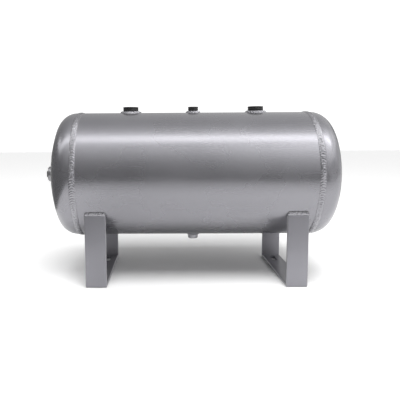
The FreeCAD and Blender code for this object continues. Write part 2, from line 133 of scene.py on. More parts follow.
def startPaint(name, finish):
    # sprayed metallic paint: soft clouds, fine flake, orange peel and a few dust nibs
    material, tree, shader, place = newMaterial(name)
    clouds = grain(tree, place, finish["cloudScale"], 3.0)
    passes = grain(tree, stretched(tree, place, (1.4, 30.0, 30.0)), 1.0, 2.0)
    flake = grain(tree, place, finish["flakeScale"], 1.0)
    tone = remap(tree, math2(tree, "ADD", clouds, passes), 0.7, 1.3, 0.0, 1.0)
    base = mixColour(tree, tone, finish["darkGrey"], finish["lightGrey"])
    sparkle = remap(tree, flake, 0.35, 0.65, 0.93, 1.07)
    base = mixColour(tree, 1.0, base, sparkle, "MULTIPLY")
    rough = remap(tree, clouds, 0.3, 0.7, finish["roughness"] - 0.03, finish["roughness"] + 0.04)
    peel = grain(tree, place, finish["peelScale"], 2.0)
    nibs = addNode(tree, "ShaderNodeTexVoronoi", {"Vector": place, "Scale": finish["nibScale"]}).outputs[0]
    nibs = remap(tree, nibs, 0.02, 0.05, 1.0, 0.0)
    layers = [(peel, finish["orangePeel"], 0.4 * mm), (nibs, 0.10, 0.06 * mm), (flake, 0.04, 0.05 * mm)]
    shader.inputs["Metallic"].default_value = finish["metallic"]
    shader.inputs["Coat Weight"].default_value = finish["coat"]
    shader.inputs["Coat Roughness"].default_value = finish["coatRoughness"]
    return material, tree, shader, place, base, rough, layers


def endPaint(tree, shader, base, rough, layers, normal=None):
    tree.links.new(base, shader.inputs["Base Color"])
    tree.links.new(rough, shader.inputs["Roughness"])
    tree.links.new(stackBumps(tree, layers, normal), shader.inputs["Normal"])


def shellPaint():
    # rolling marks lie round the barrel under the paint, and handling has left faint rubs along it
    material, tree, shader, place, base, rough, layers = startPaint("shellPaint", tankFinish)
    rolling = grain(tree, stretched(tree, place, (260.0, 9.0, 9.0)), 1.0, 2.0)
    rubs = grain(tree, stretched(tree, place, (5.0, 420.0, 420.0)), 1.0, 3.0)
    rubs = remap(tree, rubs, 0.60, 0.74, 0.0, 1.0)
    rough = math2(tree, "ADD", rough, math2(tree, "MULTIPLY", rubs, 0.05))
    endPaint(tree, shader, base, rough, [(rolling, 0.02, 0.3 * mm)] + layers)
    return material


def headPaint():
    # spinning the head to shape leaves faint rings round the tank axis
    material, tree, shader, place, base, rough, layers = startPaint("headPaint", tankFinish)
    split = addNode(tree, "ShaderNodeSeparateXYZ", {0: place}).outputs
    height = math2(tree, "SUBTRACT", split[2], axisHeight)
    radius = math2(tree, "SQRT", math2(tree, "ADD", math2(tree, "POWER", split[1], 2.0),
                                       math2(tree, "POWER", height, 2.0)), 0.0)
    rings = addNode(tree, "ShaderNodeTexNoise", {"W": radius, "Scale": 420.0, "Detail": 2.0},
                    noise_dimensions="1D").outputs[0]
    endPaint(tree, shader, base, rough, [(rings, 0.03, 0.25 * mm)] + layers, tipNormal(tree, place, radius))
    return material


tip = {"inner": 9.0, "outer": 14.0}    # mm from the axis over which the mesh's own normal takes over


def tipNormal(tree, place, radius):
    # the plain head's tip shades unevenly, so the crown's own sphere gives the normal there
    centre = (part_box("right_head")[1].x - crownRadius, 0.0, axisHeight)
    out = addNode(tree, "ShaderNodeVectorMath", {0: place, 1: centre}, operation="SUBTRACT").outputs[0]
    out = addNode(tree, "ShaderNodeVectorMath", {0: out}, operation="NORMALIZE").outputs[0]
    near = remap(tree, radius, tip["inner"] * mm, tip["outer"] * mm, 1.0, 0.0)
    own = addNode(tree, "ShaderNodeNewGeometry").outputs["Normal"]
    return addNode(tree, "ShaderNodeMix", {0: near, 4: own, 5: out}, data_type="VECTOR").outputs[1]


def beadPaint():
    # paint over a weld: the toes carry painted shade and are rougher, with spatter and pin holes on the crown
    material, tree, shader, place, base, rough, layers = startPaint("beadPaint", beadFinish)
    # the toe attribute is painted shade: it darkens the bead to near black where it meets the surface,
    # standing in for the shadow in the undercut
    toe = addNode(tree, "ShaderNodeAttribute", attribute_name="toe").outputs["Fac"]
    broken = grain(tree, place, 260.0, 3.0)
    toe = math2(tree, "MULTIPLY", toe, remap(tree, broken, 0.25, 0.6, 0.55, 1.0))
    base = mixColour(tree, toe, base, colour(0.05))
    rough = math2(tree, "ADD", rough, math2(tree, "MULTIPLY", toe, 0.35))
    spatter = addNode(tree, "ShaderNodeTexVoronoi", {"Vector": place, "Scale": 620.0}).outputs[0]
    crinkle = grain(tree, place, 430.0, 3.0, 0.6)
    endPaint(tree, shader, base, rough, [(crinkle, 0.8, 0.75 * mm), (spatter, 0.2, 0.25 * mm)] + layers)
    return material


def legPaint():
    # flat bar: drawing marks run along the strap, and a broken painted highlight lightens its long edges
    material, tree, shader, place, base, rough, layers = startPaint("legPaint", legFinish)
    split = addNode(tree, "ShaderNodeSeparateXYZ", {0: place}).outputs
    low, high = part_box("right_leg")
    fromMiddle = (low.x + high.x) / 2 - tankMiddle
    halfWidth = (high.x - low.x) / 2
    either = math2(tree, "ABSOLUTE", math2(tree, "SUBTRACT", split[0], tankMiddle), 0.0)
    across = math2(tree, "ABSOLUTE", math2(tree, "SUBTRACT", either, fromMiddle), 0.0)
    # painted highlight: the strap's long edges are lightened towards pale grey, broken up by noise
    edge = remap(tree, across, halfWidth - 1.0 * mm, halfWidth - 0.2 * mm, 0.0, 1.0)
    broken = remap(tree, grain(tree, place, 130.0, 3.0), 0.35, 0.7, 0.0, 1.0)
    edge = math2(tree, "MULTIPLY", edge, broken)
    base = mixColour(tree, math2(tree, "MULTIPLY", edge, 0.5), base, colour(0.52))
    drawn = grain(tree, stretched(tree, place, (420.0, 7.0, 7.0)), 1.0, 2.0)
    endPaint(tree, shader, base, rough, [(drawn, 0.03, 0.2 * mm)] + layers)
    return material


def bungPaint():
    # turned steel under paint: close tool rings across each bung
    material, tree, shader, place, base, rough, layers = startPaint("bungPaint", bungFinish)
    rings = grain(tree, stretched(tree, place, (15.0, 15.0, 1500.0)), 1.0, 1.0)
    endPaint(tree, shader, base, rough, [(rings, 0.10, 0.15 * mm)] + layers)
    return material


def plugPlastic():
    # moulded black plastic with a fine spark-eroded grain and dusty scuffs
    material, tree, shader, place = newMaterial("plugPlastic")
    streaks = grain(tree, stretched(tree, place, (90.0, 90.0, 500.0)), 1.0, 4.0)
    scuffs = remap(tree, streaks, 0.5, 0.75, 0.0, 1.0)
    dust = remap(tree, grain(tree, place, 60.0, 3.0), 0.35, 0.75, 0.0, 0.45)
    base = mixColour(tree, math2(tree, "MULTIPLY", scuffs, dust), colour(0.022), colour(0.16))
    rough = remap(tree, scuffs, 0.0, 1.0, 0.26, 0.48)
    skin = grain(tree, place, 3200.0, 2.0)
    shader.inputs["Specular IOR Level"].default_value = 0.5
    endPaint(tree, shader, base, rough, [(scuffs, 0.1, 0.05 * mm), (skin, 0.25, 0.04 * mm)])
    return material


finishes = {
    "shell": shellPaint(),
    "head": headPaint(),
    "bead": beadPaint(),
    "leg": legPaint(),
    "bung": bungPaint(),
    "plug": plugPlastic(),
}
print("finishes mixed:", len(finishes))


def addPiece(name, points, faces, finish, replaced, paintedShades=None):
    mesh = bpy.data.meshes.new(name)
    mesh.from_pydata(points, [], faces)
    tidy = bmesh.new()
    tidy.from_mesh(mesh)
    bmesh.ops.recalc_face_normals(tidy, faces=tidy.faces)
    tidy.to_mesh(mesh)
    tidy.free()
    # per-point painted shade for the bead's toes, stored as the toe attribute
    if paintedShades is not None:
        shade = mesh.attributes.new("toe", "FLOAT", "POINT")
        shade.data.foreach_set("value", paintedShades)
    mesh.polygons.foreach_set("use_smooth", [True] * len(mesh.polygons))
    piece = bpy.data.objects.new(name, mesh)
    scene.collection.objects.link(piece)
    mesh.materials.append(finishes[finish])
    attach(piece, "root")
    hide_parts(*replaced)
    return piece


def skinRings(rings, wrap):
    # quads between neighbouring rings of equal length; unwrapped ends are capped
    points = [point for ring in rings for point in ring]
    count = len(rings[0])
    spans = len(rings) if wrap else len(rings) - 1
    faces = []
    for i in range(spans):
        here = i * count
        there = (i + 1) % len(rings) * count
        for j in range(count):
            k = (j + 1) % count
            faces.append((here + j, here + k, there + k, there + j))
    if not wrap:
        faces.append(tuple(range(count)))
        faces.append(tuple(range(len(points) - count, len(points))))
    return points, faces


def turned(outlineAt, steps):
    # turns an outline round Z; one that starts and ends on the axis closes there, any other on itself
    outlines = [outlineAt(2 * math.pi * i / steps) for i in range(steps)]
    solid = outlines[0][0][0] == 0
    used = slice(1, -1) if solid else slice(None)
    rings = []
    for i, outline in enumerate(outlines):
        angle = 2 * math.pi * i / steps
        rings.append([Vector((r * math.cos(angle), r * math.sin(angle), z)) for r, z in outline[used]])
    if not solid:
        return skinRings(rings, True)
    points = [point for ring in rings for point in ring]
    count = len(rings[0])
    faces = []
    for i in range(steps):
        here = i * count
        there = (i + 1) % steps * count
        for j in range(count - 1):
            faces.append((here + j, here + j + 1, there + j + 1, there + j))
        faces.append((len(points), here, there))
        faces.append((len(points) + 1, there + count - 1, here + count - 1))
    points.append(Vector((0, 0, outlines[0][0][1])))
    points.append(Vector((0, 0, outlines[0][-1][1])))
    return points, faces


def softCorners(outline, radius, bend=3):
    # rounds every corner of an open or closed outline of (r, z) pairs, but not its ends
    rounded = [outline[0]]
    for before, corner, after in zip(outline, outline[1:], outline[2:]):
        here = Vector(corner)
        back = Vector(before) - here
        ahead = Vector(after) - here
        cut = min(radius, back.length * 0.45, ahead.length * 0.45)
        start = here + back.normalized() * cut
        end = here + ahead.normalized() * cut
        for i in range(bend + 1):
            t = i / bend
            rounded.append(tuple(start * (1 - t) ** 2 + here * 2 * t * (1 - t) + end * t ** 2))
    rounded.append(outline[-1])
    return rounded


def wave(value, seed):
    # smooth repeatable wander between about -1 and 1
    return noise.noise(Vector((value, seed * 7.31, seed * 3.17)))


def scaleStep(phase):
    # one weld scale: a quick rise, then a long fall
    part = phase % 1.0
    return 1 - (part - 0.18) / 0.82 if part > 0.18 else part / 0.18


print("helpers ready")

girthBead = {
    "pitch": 4.3,        # mm between scales
    "halfWidth": 5.2,
    "crown": 0.85,       # mm above the shell
    "scale": 0.75,       # mm, height of a scale's step
    "lumps": 0.55,
    "wander": 0.45,
    "root": 1.6,         # mm below the surface
    "highest": 2.0,
    "toeShade": 0.12,        # how dark the painted shade in the toes is
    "stepsPerScale": 8,
    "across": 16,
}


def makeGirthBead(name, node, middleX, side, seed):
    sizes = girthBead
    length = 2 * math.pi * tankRadius / mm
    scales = round(length / sizes["pitch"])
    steps = scales * sizes["stepsPerScale"]
    rings = []
    paintedShades = []
    for i in range(steps):
        turn = 2 * math.pi * i / steps
        radial = Vector((0, math.cos(turn), math.sin(turn)))
        beat = Vector((0, math.cos(turn) * 9, math.sin(turn) * 9))
        centre = sizes["wander"] * noise.noise(beat + Vector((seed, 0, 0)))
        half = sizes["halfWidth"] * (1 + 0.09 * noise.noise(beat * 2 + Vector((seed + 5, 0, 0))))
        ring = []
        for j in range(sizes["across"] + 1):
            a = 2 * j / sizes["across"] - 1
            dome = max(0.0, 1 - a * a)
            phase = i / sizes["stepsPerScale"] + 0.9 * dome + 0.35 * noise.noise(beat * 1.7)
            rise = sizes["crown"] * dome ** 0.75
            rise += sizes["scale"] * (scaleStep(phase) - 0.4) * dome ** 0.5
            rise += sizes["lumps"] * noise.noise(radial * 34 + Vector((a * 2.2 + seed, 0, 0))) * dome ** 0.5
            rise = min(rise, sizes["highest"])
            if dome == 0:
                rise = -0.1
            across = (centre + half * a) * side
            ring.append(Vector((middleX + across * mm, 0, axisHeight)) + radial * (tankRadius + rise * mm))
            # painted shade on the outer fifth of each side of the bead
            paintedShades.append(sizes["toeShade"] * max(0.0, abs(a) - 0.8) / 0.2)
        for a in (1, -1):
            across = (centre + half * 0.9 * a) * side
            root = tankRadius - sizes["root"] * mm
            ring.append(Vector((middleX + across * mm, 0, axisHeight)) + radial * root)
            paintedShades.append(1.0)
        rings.append(ring)
    points, faces = skinRings(rings, True)
    addPiece(name, points, faces, "bead", [node], paintedShades)


for side, label, seed in ((-1, "left", 1), (1, "right", 4)):
    low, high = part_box(f"{label}_girth_weld")
    makeGirthBead(f"{label}GirthBead", f"{label}_girth_weld", (low.x + high.x) / 2, side, seed)
print("girth beads laid")

portBead = {
    "pitch": 5.2,
    "leg": {"large": 5.6, "small": 4.1},
    "height": 3.3,
    "belly": 0.7,
    "scale": 0.9,
    "lumps": 0.7,
    "toeShade": 0.35,
    "root": 1.2,
    "step": 0.5,
    "across": 12,
}


def onBarrel(x, y):
    return math.sqrt(tankRadius ** 2 - y * y) - tankRadius


def onCrown(x, y):
    return math.sqrt(crownRadius ** 2 - x * x - y * y) - crownRadius


def makePortBead(name, node, seat, bungRadius, kind, surface, seed):
    sizes = portBead
    leg = sizes["leg"][kind]
    scales = round(2 * math.pi * (bungRadius / mm + leg / 2) / sizes["pitch"])
    stepsPerScale = round(sizes["pitch"] / sizes["step"])
    steps = scales * stepsPerScale
    rings = []
    paintedShades = []
    for i in range(steps):
        turn = 2 * math.pi * i / steps
        out = Vector((math.cos(turn), math.sin(turn), 0))
        reach = leg * (1 + 0.13 * noise.noise(out * 2.2 + Vector((seed, 0, 0))))
        top = sizes["height"] * (1 + 0.12 * noise.noise(out * 2.6 + Vector((0, seed, 0))))
        toeAt = out * (bungRadius + reach * mm)
        toeAt.z = surface(toeAt.x, toeAt.y) - 0.1 * mm
        topAt = out * (bungRadius - 0.2 * mm)
        topAt.z = top * mm
        slope = (topAt - toeAt).normalized()
        lean = Vector((-slope.z * out.x, -slope.z * out.y, slope.dot(out))) * -1
        if lean.z < 0:
            lean = -lean
        ring = []
        for j in range(sizes["across"] + 1):
            t = j / sizes["across"]
            dome = math.sin(math.pi * t)
            phase = i / stepsPerScale + 0.75 * t
            rise = sizes["belly"] * dome
            rise += sizes["scale"] * (scaleStep(phase) - 0.45) * dome ** 0.6
            rise += sizes["lumps"] * noise.noise(out * 5 + Vector((t * 1.5, seed, 0))) * dome ** 0.6
            ring.append(toeAt.lerp(topAt, t) + lean * rise * mm)
            # painted shade at the bead's foot on the shell and at its top against the bung
            paintedShades.append(sizes["toeShade"] * (max(0.0, 0.14 - t) / 0.14 + max(0.0, t - 0.88) / 0.12))
        inner = out * (bungRadius - 0.3 * mm)
        inner.z = toeAt.z - sizes["root"] * mm
        outer = out * (bungRadius + (reach - 0.6) * mm)
        outer.z = toeAt.z - sizes["root"] * mm
        ring += [inner, outer]
        paintedShades += [1.0, 1.0]
        rings.append([seat @ point for point in ring])
    points, faces = skinRings(rings, True)
    addPiece(name, points, faces, "bead", [node], paintedShades)


def bungRadiusOf(node):
    low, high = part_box(node)
    return (high.y - low.y) / 2


def topSeat(node):
    low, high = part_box(node)
    return Matrix.Translation(((low.x + high.x) / 2, 0, axisHeight + tankRadius))


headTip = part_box("left_head")[0].x
drainSeat = Matrix.Translation((tankMiddle, 0, axisHeight - tankRadius)) @ Matrix.Rotation(math.pi, 4, "Y")
endSeat = Matrix.Translation((headTip, 0, axisHeight)) @ Matrix.Rotation(-math.pi / 2, 4, "Y")
seats = {
    "left_port": (topSeat("left_port_bung"), "large", onBarrel),
    "middle_port": (topSeat("middle_port_bung"), "small", onBarrel),
    "right_port": (topSeat("right_port_bung"), "large", onBarrel),
    "drain": (drainSeat, "small", onBarrel),
    "end_port": (endSeat, "large", onCrown),
}
pieceWords = {
    "left_port": "leftPort",
    "middle_port": "middlePort",
    "right_port": "rightPort",
    "drain": "drain",
    "end_port": "endPort",
}
for seed, (port, (seat, kind, surface)) in enumerate(seats.items()):
    radius = bungRadiusOf(f"{port}_bung")
    makePortBead(f"{pieceWords[port]}Bead", f"{port}_weld", seat, radius, kind, surface, seed * 2.7)
print("port beads laid")

bung = {
    "rise": {"left_port": 4.0, "middle_port": 4.0, "right_port": 4.0, "drain": 10.0, "end_port": 10.5},
    "length": {"left_port": 18.0, "middle_port": 18.0, "right_port": 18.0, "drain": 14.0, "end_port": 20.0},
    "bore": {"large": 9.3, "small": 5.6},
    "chamfer": 1.2,
    "edge": 0.3,
    "threadPitch": {"large": 1.81, "small": 1.41},
    "threadDepth": {"large": 1.1, "small": 0.85},
    "mouth": 0.2,        # mm that the thread's mouth is opened
    "samplesPerTurn": 8,
}


def makeBung(port, seat, kind, steps=144):
    radius = bungRadiusOf(f"{port}_bung") / mm
    rise = bung["rise"][port]
    bottom = rise - bung["length"][port]
    bore = bung["bore"][kind]
    pitch = bung["threadPitch"][kind]
    depth = bung["threadDepth"][kind]
    samples = round((rise - bottom) / pitch * bung["samplesPerTurn"])
    outside = softCorners([
        (bore + depth, bottom),
        (radius, bottom),
        (radius, rise - bung["chamfer"]),
        (radius - bung["chamfer"], rise),
        (bore + depth + bung["mouth"], rise),
    ], bung["edge"])

    def outlineAt(turn):
        outline = [(r * mm, z * mm) for r, z in outside]
        for i in range(1, samples):
            z = rise + (bottom - rise) * i / samples
            flank = abs((z / pitch - turn / (2 * math.pi)) % 1.0 - 0.5) * 2
            lead = min(1.0, (rise - z) / pitch)
            r = bore + depth * (flank * lead + (1 - lead))
            outline.append((r * mm, z * mm))
        return outline

    points, faces = turned(outlineAt, steps)
    points = [seat @ point for point in points]
    addPiece(f"{pieceWords[port]}Bung", points, faces, "bung", [f"{port}_bung"])


for port, (seat, kind, surface) in seats.items():
    makeBung(port, seat, kind)
print("bungs turned")

plug = {
    "flange": 6.2,
    "grooveWidth": 0.9,
    "grooveDepth": 0.55,
    "reach": 11.0,
    "socketDepth": 4.5,
    "socket": {"large": 12.0, "small": 8.0},    # mm across corners
    "edge": 0.45,
    "dish": 0.5,
    "rim": (1.5, 2.2),       # mm in from the side to the rim's inner edge and to the dish's floor
    "clearance": 0.15,
    "seatGap": 0.05,
}


def hexagonRadius(turn, corner, soften=0.3):
    # distance from the middle to a hexagon's side, with its corners eased
    part = (turn % (math.pi / 3)) - math.pi / 6
    flat = corner * math.cos(math.pi / 6)
    return min(flat / math.cos(part), corner - soften)


def makeTopPlug(port, seat, kind, steps=144):
    radius = bungRadiusOf(f"{port}_bung") / mm
    rise = bung["rise"][port]
    stub = bung["bore"][kind] - plug["clearance"]
    top = rise + plug["flange"]
    middle = rise + plug["flange"] / 2
    corner = plug["socket"][kind] / 2

    def outlineAt(turn):
        socket = hexagonRadius(turn, corner)
        outline = softCorners([
            (0, top - plug["socketDepth"]),
            (socket, top - plug["socketDepth"]),
            (socket, top - plug["dish"]),
            (radius - plug["rim"][1], top - plug["dish"]),
            (radius - plug["rim"][0], top),
            (radius, top),
            (radius, middle + plug["grooveWidth"] / 2),
            (radius - plug["grooveDepth"], middle + plug["grooveWidth"] / 2),
            (radius - plug["grooveDepth"], middle - plug["grooveWidth"] / 2),
            (radius, middle - plug["grooveWidth"] / 2),
            (radius, rise + plug["seatGap"]),
            (stub, rise + plug["seatGap"]),
            (stub, rise - plug["reach"]),
            (0, rise - plug["reach"]),
        ], plug["edge"])
        return [(r * mm, z * mm) for r, z in outline]

    points, faces = turned(outlineAt, steps)
    points = [seat @ point for point in points]
    addPiece(f"{pieceWords[port]}Plug", points, faces, "plug", [f"{port}_plug"])


for port in ("left_port", "middle_port", "right_port"):
    seat, kind, surface = seats[port]
    makeTopPlug(port, seat, kind)


endPlug = {"square": 10.6, "head": 3.0, "reach": 11.0, "edge": 0.6, "cornerCut": 0.7}


def makeEndPlug(seat, steps=128):
    # flush disc in the bore with a small square head to turn it by
    rise = bung["rise"]["end_port"]
    stub = bung["bore"]["large"] - plug["clearance"]
    half = endPlug["square"] / 2

    def outlineAt(turn):
        part = (turn + math.pi / 4) % (math.pi / 2) - math.pi / 4
        side = min(half / math.cos(part), half * math.sqrt(2) - endPlug["cornerCut"])
        outline = softCorners([
            (0, rise + endPlug["head"]),
            (side, rise + endPlug["head"]),
            (side, rise),
            (stub, rise),
            (stub, rise - endPlug["reach"]),
            (0, rise - endPlug["reach"]),
        ], endPlug["edge"])
        return [(r * mm, z * mm) for r, z in outline]

    points, faces = turned(outlineAt, steps)
    points = [seat @ point for point in points]
    addPiece("endPortPlug", points, faces, "plug", ["end_port_plug"])


makeEndPlug(endSeat)
print("plugs moulded")

leg = {
    "thickness": 5.0,
    "innerBend": 1.0,
    "outerBend": 3.0,
    "bendSteps": 8,
    "edge": 1.9,         # mm, rolled rounding of the strap's long edges
    "edgeSteps": 6,
    "cutCorner": 0.6,    # mm, rounding left on the cut ends
    "slotWidth": 10.0,
    "slotLength": 32.0,
    "slotInset": 29.3,   # mm from the strap's outer face to a slot's middle
    "slotFlare": 0.35,
    "slotSteps": 16,
}


def strapOutline(outer, top, inset):
    # half of the U drawn in by an inset: outside going out and up, then inside the same way
    thick = leg["thickness"]
    corner = leg["cutCorner"]
    outside = (leg["outerBend"] - inset, outer - inset, inset, -1)
    inside = (leg["innerBend"] + inset, outer - thick + inset, thick - inset, 1)
    outline = []
    for radius, y, z, inward in (outside, inside):
        run = []
        for i in range(leg["bendSteps"] + 1):
            turn = math.pi / 2 * i / leg["bendSteps"]
            run.append((y - radius + radius * math.sin(turn), z + radius - radius * math.cos(turn)))
        for i in range(4):
            turn = math.pi / 2 * i / 3
            rounding = inward * corner * (1 - math.cos(turn))
            run.append((y + rounding, top - inset - corner * (1 - math.sin(turn))))
        outline.append(run)
    return outline


def strapLayers(low, high):
    # where the layers lie along X, each with how far its outline is drawn in
    edge = leg["edge"] * mm
    turns = [math.pi / 2 * i / leg["edgeSteps"] for i in range(leg["edgeSteps"] + 1)]
    first = [(low + edge * (1 - math.cos(turn)), leg["edge"] * (1 - math.sin(turn))) for turn in turns]
    return first + [(low + high - x, inset) for x, inset in reversed(first)]


def makeLeg(name, node):
    low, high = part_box(node)
    outer = high.y / mm
    points = []
    layers = strapLayers(low.x, high.x)
    for x, inset in layers:
        outside, inside = strapOutline(outer, high.z / mm, inset)
        right = outside + inside[::-1]
        outline = right + [(-y, z) for y, z in reversed(right)]
        points += [Vector((x, y * mm, z * mm)) for y, z in outline]
    count = len(outline)
    half = len(right)
    faces = []
    for k in range(len(layers) - 1):
        here = k * count
        for i in range(count):
            j = (i + 1) % count
            faces.append((here + i, here + j, here + count + j, here + count + i))
    for base in (0, len(points) - count):
        # the two sides are strips between the outside and inside runs
        for i in range(len(outside) - 1):
            strip = (i, i + 1, half - 2 - i, half - 1 - i)
            faces.append(tuple(base + k for k in strip))
            faces.append(tuple(base + count - 1 - k for k in reversed(strip)))
        faces.append((base, base + half - 1, base + half, base + count - 1))
    strap = addPiece(name, points, faces, "leg", [node])
    for side in (-1, 1):
        cutSlot(strap, (low.x + high.x) / 2, side * (outer - leg["slotInset"]) * mm)
    strap.data.set_sharp_from_angle(angle=math.radians(40))


def slotRing(x, y, z, grow):
    # round-ended slot along Y, grown all round
    radius = (leg["slotWidth"] / 2 + grow) * mm
    run = (leg["slotLength"] - leg["slotWidth"]) / 2 * mm
    ring = []
    for end, start in ((1, 0.0), (-1, math.pi)):
        for i in range(leg["slotSteps"] + 1):
            turn = start + math.pi * i / leg["slotSteps"]
            ring.append(Vector((x + radius * math.cos(turn), y + end * run + radius * math.sin(turn), z)))
    return ring


def cutSlot(strap, x, y):
    # the punch flares at both faces, which leaves a small countersink
    thick = leg["thickness"]
    flare = leg["slotFlare"]
    beyond = 2.0
    levels = ((-beyond, beyond + flare), (flare, 0.0), (thick - flare, 0.0), (thick + beyond, beyond + flare))
    points, faces = skinRings([slotRing(x, y, z * mm, grow) for z, grow in levels], False)
    mesh = bpy.data.meshes.new("punch")
    mesh.from_pydata(points, [], faces)
    tidy = bmesh.new()
    tidy.from_mesh(mesh)
    bmesh.ops.recalc_face_normals(tidy, faces=tidy.faces)
    tidy.to_mesh(mesh)
    tidy.free()
    punch = bpy.data.objects.new("punch", mesh)
    scene.collection.objects.link(punch)
    cut = strap.modifiers.new("cut", "BOOLEAN")
    cut.operation = "DIFFERENCE"
    cut.object = punch
    cut.solver = "EXACT"
    before = len(strap.data.polygons)
    applyModifiers(strap)
    bpy.data.objects.remove(punch)
    print("slot cut:", before, "->", len(strap.data.polygons), "faces")


def applyModifiers(piece):
    graph = bpy.context.evaluated_depsgraph_get()
    mesh = bpy.data.meshes.new_from_object(piece.evaluated_get(graph), depsgraph=graph)
    piece.modifiers.clear()
    piece.data = mesh


for side in ("left", "right"):
    makeLeg(f"{side}Leg", f"{side}_leg")
print("legs bent and slotted")

legBead = {
    "rise": 7.4,         # mm up the shell from the strap's cut end
    "heelInset": 1.3,
    "belly": 0.7,
    "pitch": 3.6,
    "scale": 0.7,
    "lumps": 0.6,
    "step": 0.4,
    "across": 12,
    "endRun": 2.2,
    "rootDepth": 1.2,    # mm that the bead's back lies inside the shell
    "rootInset": 5.6,
    "rootDrop": 0.4,
    "shadeFrom": 0.66,    # share of the way up at which the painted shade starts
}


def makeLegBead(name, node, side, seed):
    sizes = legBead
    low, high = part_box(node)
    outer = max(abs(low.y), abs(high.y))
    plateTop = low.z
    length = (high.x - low.x) / mm
    steps = round(length / sizes["step"])
    rings = []
    paintedShades = []
    for i in range(steps + 1):
        s = length * i / steps
        fromEnd = min(s, length - s)
        full = math.sqrt(max(0.02, min(1.0, fromEnd / sizes["endRun"])))
        x = low.x + s * mm
        uneven = 1 + 0.22 * wave(s * 0.35, seed) + 0.12 * wave(s * 1.1, seed + 3)
        rise = sizes["rise"] * (0.25 + 0.75 * full) * uneven
        inset = sizes["heelInset"] + 0.4 * wave(s * 0.5, seed + 1)
        heel = Vector((x, outer - inset * mm, plateTop - 0.05 * mm))
        toeZ = plateTop + rise * mm
        toe = Vector((x, math.sqrt(tankRadius ** 2 - (toeZ - axisHeight) ** 2) - 0.1 * mm, toeZ))
        along = (toe - heel).normalized()
        lean = Vector((0, along.z, -along.y))
        if lean.y < 0:
            lean = -lean
        ring = []
        for j in range(sizes["across"] + 1):
            t = j / sizes["across"]
            dome = math.sin(math.pi * t)
            phase = s / sizes["pitch"] + 0.8 * dome
            lift = sizes["belly"] * dome * full
            lift += sizes["scale"] * (scaleStep(phase) - 0.4) * dome ** 0.6 * full
            lift += sizes["lumps"] * noise.noise(Vector((s * 0.45, t * 2.2, seed * 3.3))) * dome ** 0.6 * full
            ring.append(heel.lerp(toe, t) + lean * lift * mm)
            # painted shade: faint at the heel, darkening the upper part of the bead up to its toe on the
            # shell
            upperShade = max(0.0, t - sizes["shadeFrom"]) / (1 - sizes["shadeFrom"])
            paintedShades.append(0.2 * max(0.0, 0.1 - t) / 0.1 + upperShade)
        ring.append(toe + Vector((0, -sizes["rootDepth"] * mm, 0)))
        ring.append(Vector((x, outer - sizes["rootInset"] * mm, plateTop - sizes["rootDrop"] * mm)))
        paintedShades += [1.0, 1.0]
        rings.append([Vector((point.x, point.y * side, point.z)) for point in ring])
    points, faces = skinRings(rings, False)
    addPiece(name, points, faces, "bead", [node], paintedShades)


for seed, (end, face, side) in enumerate((("left", "front", -1), ("left", "rear", 1),
                                          ("right", "front", -1), ("right", "rear", 1))):
    makeLegBead(f"{end}Leg{face.capitalize()}Bead", f"{end}_leg_{face}_weld", side, seed + 1.5)
print("leg beads laid")

# the shell and heads keep their own meshes and only take a finish
for node, finish in (("shell", "shell"), ("left_head", "head"), ("right_head", "head")):
    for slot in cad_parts[node].material_slots:
        slot.material = finishes[finish]

paper = {
    "left": -5.0,
    "right": 5.0,
    "front": -1.15,
    "back": 6.0,
    "drop": 0.1,                 # mm under the feet
    "grey": 0.80,
    "mottle": 0.01,
    "glow": 0.40,
    "frontGlow": {"left": 0.0, "right": 0.9},
    "leftShare": 0.85,           # glow left of the tank against that right of it
    "leanRun": 0.25,             # m either way over which left turns into right
    "patchShift": 8.0,           # mm that the patch without glow lies right of the tank's middle
    "beside": (0.168, 0.245),    # m from there over which the glow sets in
    "before": (-0.12, -0.01),
    "beyond": (0.25, 0.80),
    "fallOff": (-1.1, -0.3),     # Y over which the front edge darkens as painted shade
    "edgeShare": 0.42,
    "edgeGlow": 0.08,
}


def makeFloor():
    # pale paper with painted light: it glows to white away from the tank but not round it, so the tank's
    # shadow stays, and its colour and glow fall off in front of it as painted shade
    mesh = bpy.data.meshes.new("floor")
    corners = [(paper["left"], paper["front"], 0), (paper["right"], paper["front"], 0),
               (paper["right"], paper["back"], 0), (paper["left"], paper["back"], 0)]
    mesh.from_pydata(corners, [], [(0, 1, 2, 3)])
    floor = bpy.data.objects.new("floor", mesh)
    floor.location.z = -paper["drop"] * mm
    scene.collection.objects.link(floor)
    material, tree, shader, place = newMaterial("floorPaper")
    tone = grain(tree, place, 30.0, 2.0)
    tone = remap(tree, tone, 0.3, 0.7, paper["grey"] - paper["mottle"], paper["grey"])
    shader.inputs["Roughness"].default_value = 0.9
    shader.inputs["Specular IOR Level"].default_value = 0.1
    x, y, _ = addNode(tree, "ShaderNodeSeparateXYZ", {0: place}).outputs
    # painted shade: the paper colour is darker towards its front edge
    tone = math2(tree, "MULTIPLY", tone, remap(tree, y, *paper["fallOff"], paper["edgeShare"], 1.0))
    tree.links.new(tone, shader.inputs["Base Color"])
    # painted light: emission that lifts the paper to white beside, before and beyond the tank
    patchMiddle = tankMiddle + paper["patchShift"] * mm
    sideways = math2(tree, "ABSOLUTE", math2(tree, "SUBTRACT", x, patchMiddle), 0.0)
    run = paper["leanRun"]
    beside = remap(tree, sideways, *paper["beside"], 0.0, 1.0)
    beside = math2(tree, "MULTIPLY", beside, remap(tree, x, -run, run, paper["leftShare"], 1.0))
    front = paper["frontGlow"]
    lean = remap(tree, x, -run, run, front["left"], front["right"])
    before = math2(tree, "MULTIPLY", remap(tree, y, *paper["before"], 1.0, 0.0), lean)
    beyond = remap(tree, y, *paper["beyond"], 0.0, 1.0)
    glow = math2(tree, "MAXIMUM", math2(tree, "MAXIMUM", beside, before), beyond)
    fade = remap(tree, y, *paper["fallOff"], paper["edgeGlow"], paper["glow"])
    glow = math2(tree, "MULTIPLY", glow, fade)
    shader.inputs["Emission Color"].default_value = (1, 1, 1, 1)
    tree.links.new(glow, shader.inputs["Emission Strength"])
    mesh.materials.append(material)


